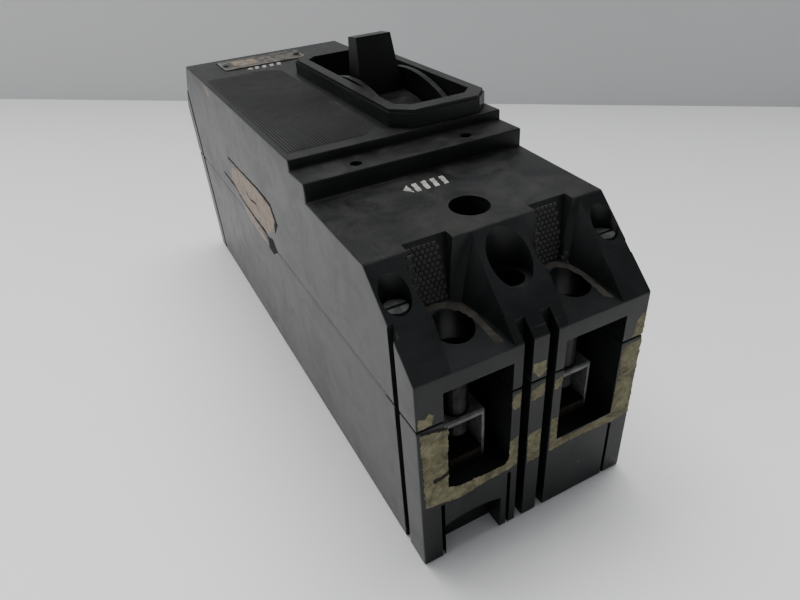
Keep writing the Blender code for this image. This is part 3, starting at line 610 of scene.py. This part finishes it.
films(
    "load_marks",
    direction_marks(-16.2, 1.0, 68.6, 73.0),
    deck,
    WHITE_PAINT,
    thick=0.05,
    rough=0.16,
    pitch=0.35,
)
films(
    "line_marks",
    direction_marks(-10.6, 5.2, -69.9, -64.6),
    lower_deck,
    WHITE_PAINT,
    thick=0.05,
    rough=0.28,
    pitch=0.35,
)

# ---------------------------------------------- glue and paper left on the front

RESIDUE_OUTLINES = (
    [
        (-37.2, 55.2), (-28.9, 53.2), (-29.2, 30.6), (-25.4, 28.7), (-20.5, 28.9),
        (-17.4, 28.4), (-10.1, 28.4), (-8.7, 30.0), (-8.6, 37.2), (-5.9, 37.8), (-5.8, 26.6),
        (-9.0, 25.5), (-16.3, 25.2), (-24.9, 23.6), (-31.2, 25.0), (-36.6, 26.0),
    ],
    [(-37.5, 60.6), (-35.4, 60.0), (-34.2, 61.2), (-32.8, 60.2), (-33.5, 57.0), (-37.4, 56.9)],
    [(-8.4, 53.4), (-6.9, 54.9), (-5.8, 54.6), (-5.8, 49.3), (-7.6, 48.8), (-8.5, 50.6)],
    [(-2.2, 63.0), (2.2, 62.4), (2.2, 58.6), (0.3, 57.2), (-2.2, 60.2)],
    [(-2.1, 53.4), (2.2, 54.4), (2.3, 49.9), (-2.1, 49.4)],
    [(-2.2, 36.2), (2.3, 37.1), (2.3, 24.9), (-2.2, 24.2)],
    [(5.9, 53.2), (8.4, 53.8), (8.5, 50.2), (5.9, 50.0)],
    [
        (5.9, 38.2), (8.5, 37.8), (8.6, 28.6), (16.0, 27.6), (26.2, 28.3), (30.0, 28.3),
        (30.2, 33.0), (30.4, 36.0), (30.2, 41.0), (31.2, 44.4), (30.3, 50.5), (31.2, 54.6),
        (37.7, 54.8), (37.7, 24.9), (31.4, 24.2), (20.4, 25.2), (6.2, 24.8),
    ],
    [(34.4, 62.6), (35.8, 64.6), (37.7, 64.0), (37.7, 56.8), (33.0, 56.9)],
)
films("front_residue", RESIDUE_OUTLINES, front, RESIDUE, rough=0.42)
films(
    "front_cracks",
    ([(-34.2, 36.3), (-31.4, 36.2), (-28.9, 37.6), (-29.4, 35.4), (-31.8, 34.9), (-33.6, 34.4)],
     [(-36.9, 55.4), (-33.0, 55.0), (-28.9, 53.8), (-29.4, 53.0), (-33.4, 54.1), (-36.9, 54.7)]),
    front, CRACK, thick=0.03, rough=0.3, lift=0.08, pitch=0.4,
)

# ------------------------------------- the closed joint between base and cover

bm = bmesh.new()
for side in (-1, 1):
    outer, inner = sorted((side * 38.03, side * 37.4))
    slab(
        bm,
        rectangle(outer, inner, -104.0, 104.0),
        lambda a,
        b,
        h: Vector((a, b, h)) * MM,
        *PARTING_GAP,
    )
add_piece("parting_seam", bm, FINISH["moulding"])

# -------------------------------------------------- broken skin on the left side

films(
    "side_scar",
    (
        [
            (40.4, 73.4), (24.8, 76.6), (10.6, 76.8), (-5.3, 76.9), (-14.4, 75.8),
            (-16.0, 71.0), (-11.3, 64.8), (-3.0, 60.2), (9.4, 59.8), (17.2, 60.4), (29.5, 61.6),
            (41.3, 62.0), (46.0, 67.4),
        ],
        [
            (33.9, 58.6), (23.4, 59.4), (12.0, 57.9), (3.4, 56.6), (-2.4, 54.0), (9.3, 53.4),
            (21.9, 54.6), (30.7, 56.9),
        ],
    ),
    left_side,
    SCAR,
    rough=0.8,
    pitch=0.8,
)
films(
    "side_cracks",
    (
        [(-2.5, 58.9), (-8.6, 60.4), (-12.2, 56.2), (-9.0, 54.4), (-5.5, 52.5), (-0.6, 53.2)],
        [
            (44.0, 77.0), (24.8, 77.4), (-0.8, 78.5), (-15.0, 78.0), (-20.2, 71.3),
            (-14.8, 65.6), (-15.6, 69.6), (-17.6, 72.0), (-14.2, 76.4), (-0.8, 77.5),
            (24.8, 76.7), (44.0, 76.0),
        ],
        [
            (60.1, 64.9), (42.4, 64.6), (29.2, 61.6), (14.0, 60.6), (1.1, 60.6), (-4.0, 57.0),
            (1.1, 58.8), (14.0, 59.4), (29.2, 60.4), (42.4, 63.4), (60.1, 64.1),
        ],
        [(24.0, 69.2), (16.0, 68.0), (8.0, 69.4), (2.0, 66.8), (8.0, 68.4), (16.0, 67.2)],
    ),
    left_side,
    CRACK,
    thick=0.04,
    rough=0.35,
    lift=0.075,
    pitch=0.6,
)
films(
    "edge_chip",
    ([(62.0, 103.0), (56.0, 103.6), (52.6, 101.0), (58.0, 99.4)],),
    left_side,
    SCAR,
    rough=0.5,
    pitch=0.5,
)

# ------------------------------------------------------- dust that has settled

films(
    "pocket_dust",
    (
        [
            (-24.8, -100.6), (-20.2, -99.4), (-16.1, -100.3), (-12.8, -102.6), (-11.2, -107.0),
            (-10.7, -112.8), (-10.0, -117.9), (-12.4, -117.4), (-12.8, -112.0), (-13.3, -108.0),
            (-15.0, -104.6), (-17.6, -102.3), (-20.2, -101.6), (-24.0, -102.0),
        ],
        [
            (14.2, -100.6), (18.7, -99.6), (22.8, -101.2), (25.0, -104.6), (25.6, -109.2),
            (26.2, -114.7), (26.6, -118.0), (24.4, -116.8), (24.0, -111.4), (23.5, -107.4),
            (22.0, -103.7), (19.0, -101.9), (15.0, -101.8),
        ],
    ),
    pocket_floor,
    DUST,
    thick=0.06,
    rough=0.3,
    pitch=0.5,
)
films(
    "step_dust",
    (
        [
            (-37.4, -58.9), (-12.0, -58.9), (4.0, -58.95), (4.0, -59.25), (-12.0, -59.5),
            (-26.0, -59.45), (-37.4, -59.6),
        ],
    ),
    lower_deck,
    EDGE_DUST,
    thick=0.05,
    rough=0.08,
    pitch=0.5,
)

# --------------------------------------------- woven relief behind the pockets


def cover_tree():
    mesh = bmesh.new()
    mesh.from_mesh(frame["nodes"]["cover"].data)
    tree = BVHTree.FromBMesh(mesh)
    mesh.free()
    return tree


def add_bricks(bm, tree, end, low_x, high_x, low_z, high_z):
    """Rows of small pads on the back wall, each set square to the wall where it lies."""
    row_pitch, pad_pitch = 1.30, 1.50
    rows = int((high_z - low_z) / row_pitch)
    for row in range(rows):
        z = low_z + (row + 0.5) * row_pitch
        x = low_x + (0.75 if row % 2 else 0.0)
        while x < high_x:
            start = Vector((x, end * 108.0, z)) * MM
            place, normal, _, _ = tree.ray_cast(start, Vector((0, -end, 0)), 0.03)
            x += pad_pitch
            if place is None or normal.dot(Vector((0, end, 0))) < 0.55:
                continue
            across = Vector((1, 0, 0)) - normal * normal.x
            across.normalize()
            upward = normal.cross(across) * (1 if normal.cross(across).z > 0 else -1)
            lower, upper = [], []
            for a, b in ((-1, -1), (1, -1), (1, 1), (-1, 1)):
                foot = place + (across * (a * 0.66) + upward * (b * 0.54)) * MM
                lower.append(bm.verts.new(foot - normal * 0.05 * MM))
                crown = place + (across * (a * 0.52) + upward * (b * 0.38)) * MM
                upper.append(bm.verts.new(crown + normal * 0.26 * MM))
            bm.faces.new(upper)
            bm.faces.new(list(reversed(lower)))
            join_rings(bm, lower, upper)


tree = cover_tree()
for end_name, end in (("line", -1), ("load", 1)):
    bm = bmesh.new()
    for low_x, high_x in ((-25.4, -14.9), (14.4, 24.0)):
        add_bricks(
            bm,
            tree,
            end,
            low_x,
            high_x,
            75.5 if end < 0 else 78.5,
            93.0 if end < 0 else 103.0,
        )
    add_piece(end_name + "_pocket_relief", bm, RELIEF)


# ------------------------------------------------------------- stage and camera


def stage_sheet(name, corners, colour, rough):
    mesh = bpy.data.meshes.new(name)
    mesh.from_pydata([Vector(c) for c in corners], [], [tuple(range(len(corners)))])
    sheet = bpy.data.objects.new(name, mesh)
    bpy.context.scene.collection.objects.link(sheet)
    g = Graph("finish_" + name)
    mottle = g.noise(9, 3, 0.5)
    shade = g.blend(mottle, tuple(c * 0.97 for c in colour), colour)
    mesh.materials.append(g.finish(Base_Color=shade, Roughness=rough))
    return sheet


WALL_A = Vector((-0.1643, 0.5921, 0))
WALL_B = Vector((0.4177, 0.0751, 0))
along = (WALL_B - WALL_A).normalized()
away = Vector((along.y, -along.x, 0)) * -1
left_end = WALL_A - along * 3
right_end = WALL_B + along * 3
stage_sheet(
    "table_top",
    [left_end, left_end - away * 5, right_end - away * 5, right_end],
    (0.93, 0.93, 0.93),
    0.5,
)
stage_sheet(
    "back_wall",
    [left_end, right_end, right_end + Vector((0, 0, 0.7)), left_end + Vector((0, 0, 0.7))],
    (0.62, 0.62, 0.625),
    0.8,
)


def area_light(name, place, target, size, power, mirrored=True):
    data = bpy.data.lights.new(name, "AREA")
    data.shape = "RECTANGLE"
    data.size, data.size_y = size
    data.energy = power
    lamp = bpy.data.objects.new(name, data)
    bpy.context.scene.collection.objects.link(lamp)
    lamp.location = place
    lamp.visible_glossy = mirrored
    lamp.rotation_mode = "QUATERNION"
    lamp.rotation_quaternion = (Vector(target) - Vector(place)).to_track_quat("-Z", "Y")
    return lamp


area_light("ceiling_light", (0.25, 0.50, 1.5), (0, 0, 0), (1.8, 1.0), 50, mirrored=False)
area_light("side_light", (-1.4, 0.3, 0.8), (0, 0, 0.05), (1.2, 0.8), 4.5)

world = bpy.data.worlds.new("studio")
bpy.context.scene.world = world
world.use_nodes = True
world.node_tree.nodes["Background"].inputs["Color"].default_value = (0.93, 0.96, 1.0, 1)
world.node_tree.nodes["Background"].inputs["Strength"].default_value = 0.27

camera_data = bpy.data.cameras.new("camera")
camera = bpy.data.objects.new("camera", camera_data)
bpy.context.scene.collection.objects.link(camera)
bpy.context.scene.camera = camera
camera_data.sensor_width = SENSOR_WIDTH
camera_data.lens = SENSOR_WIDTH * FOCAL_LENGTH / IMAGE_WIDTH
camera_data.clip_start = 0.01
camera_right = Vector((0.88277, -0.46548, -0.06356))
camera_down = Vector((-0.30924, -0.47388, -0.82450))
camera_ahead = Vector((0.35367, 0.74751, -0.56227))
turn = Matrix((camera_right, -camera_down, -camera_ahead)).transposed().to_4x4()
camera.matrix_world = Matrix.Translation((-0.08586, -0.21825, 0.17087)) @ turn
